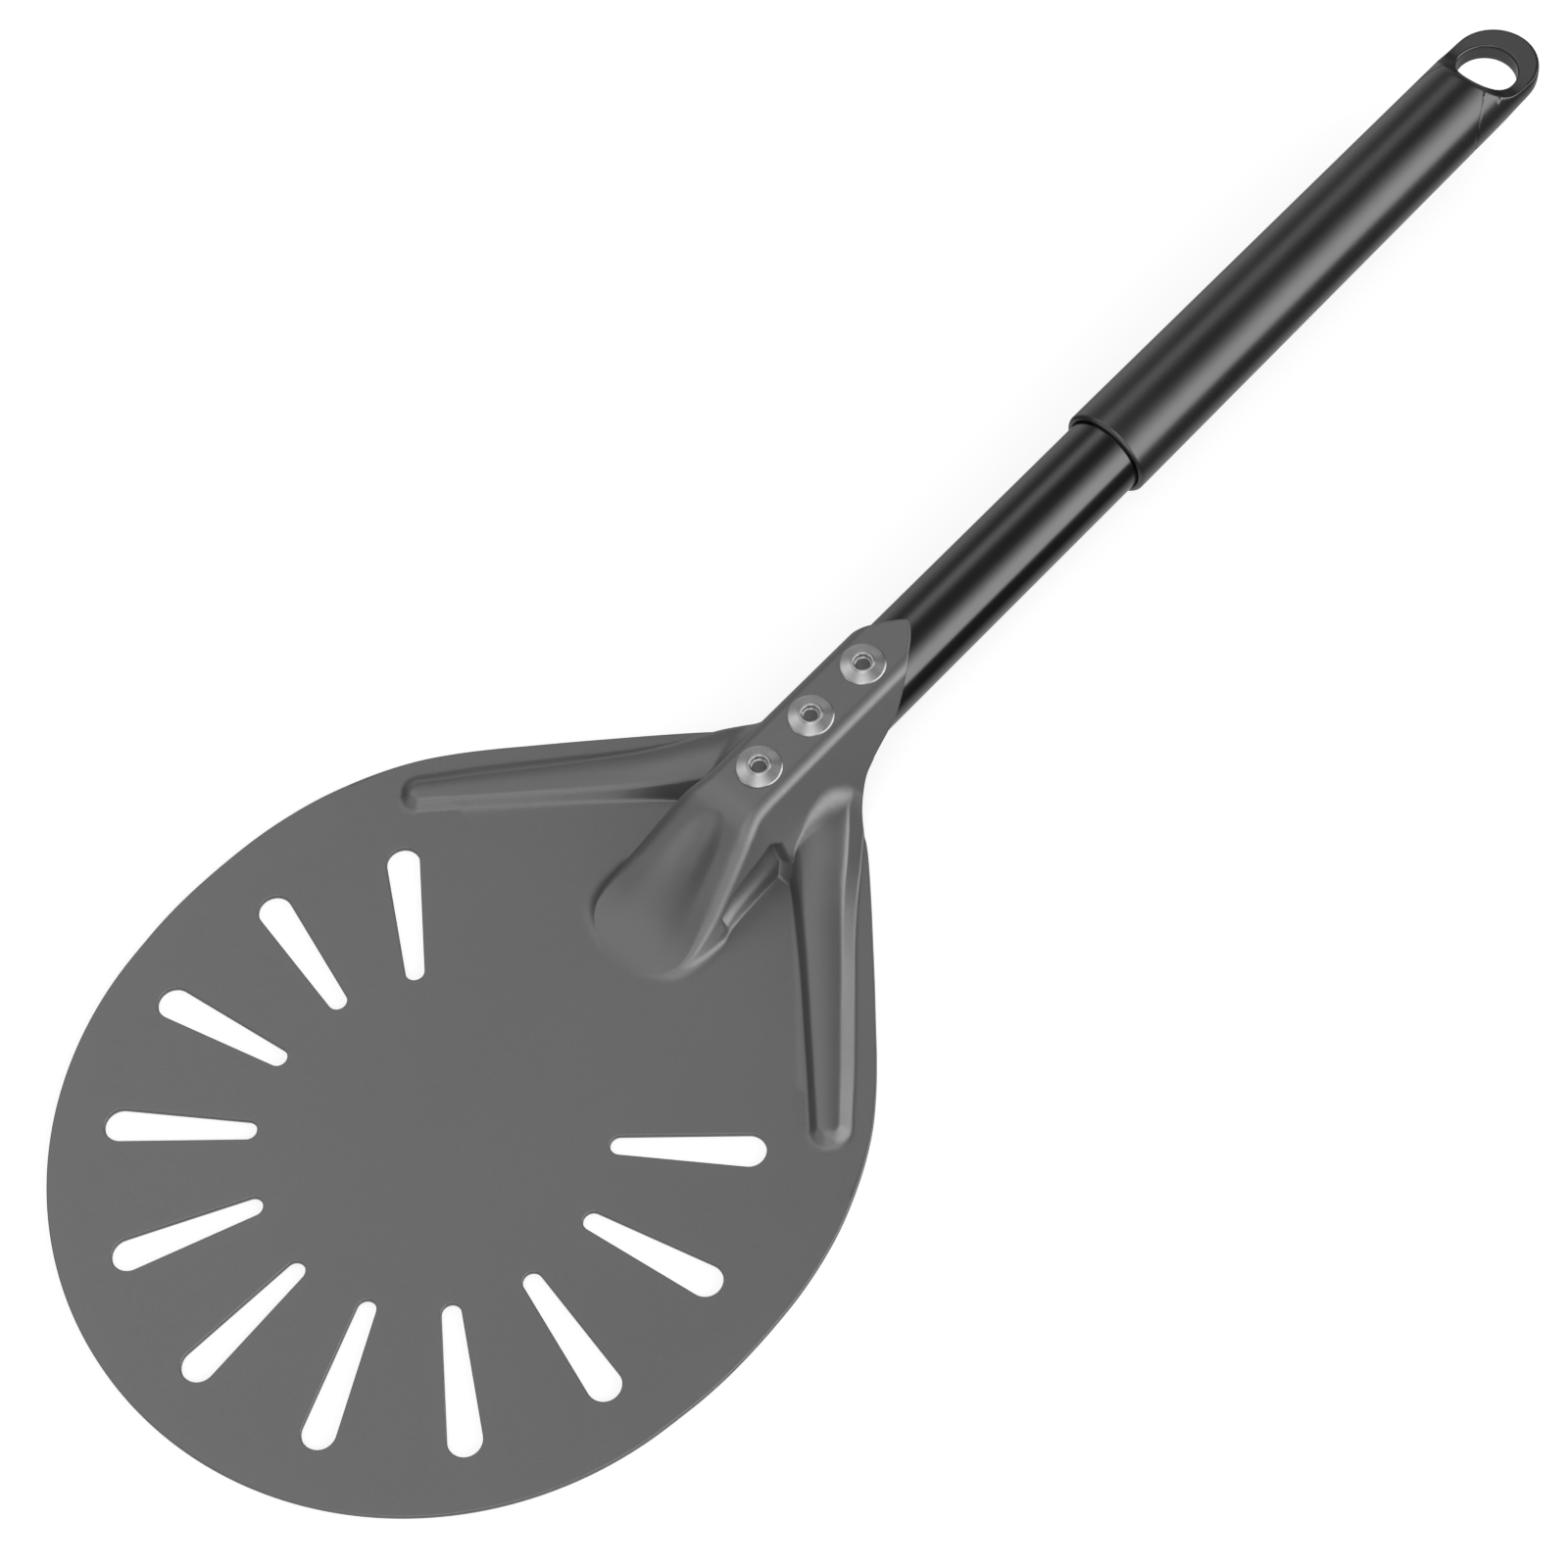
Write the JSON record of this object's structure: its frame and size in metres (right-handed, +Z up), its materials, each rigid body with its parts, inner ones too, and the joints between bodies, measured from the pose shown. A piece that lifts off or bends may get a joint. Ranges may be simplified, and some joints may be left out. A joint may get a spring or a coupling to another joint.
{
  "type": "pizza peel",
  "caption": "Round slotted turning peel: pressed aluminium head with stiffening ribs and a riveted neck socket on a round tube handle with a moulded grip and hanging eye.",
  "frame": {"origin": "centre of the round head, on its flat underside", "axes": "+X runs back along the handle, +Z up out of the head's top face, +Y completes the right-handed frame; the handle lies in the plane Y = 0"},
  "size_m": [0.6104, 0.2226, 0.0375],
  "materials": {
    "blade": "charcoal hard-anodised, matte",
    "tube": "black anodised, satin",
    "grip": "fine moulded texture, semi-matte",
    "rivet": "bright, lightly brushed",
    "mandrel": "broken steel stem"
  },
  "bodies": {
    "root": {"blade": "blade", "handle_tube": "tube", "grip": "grip", "rivet_front": "rivet", "rivet_middle": "rivet", "rivet_rear": "rivet", "mandrel_front": "mandrel", "mandrel_middle": "mandrel", "mandrel_rear": "mandrel"}
  },
  "joints": []
}
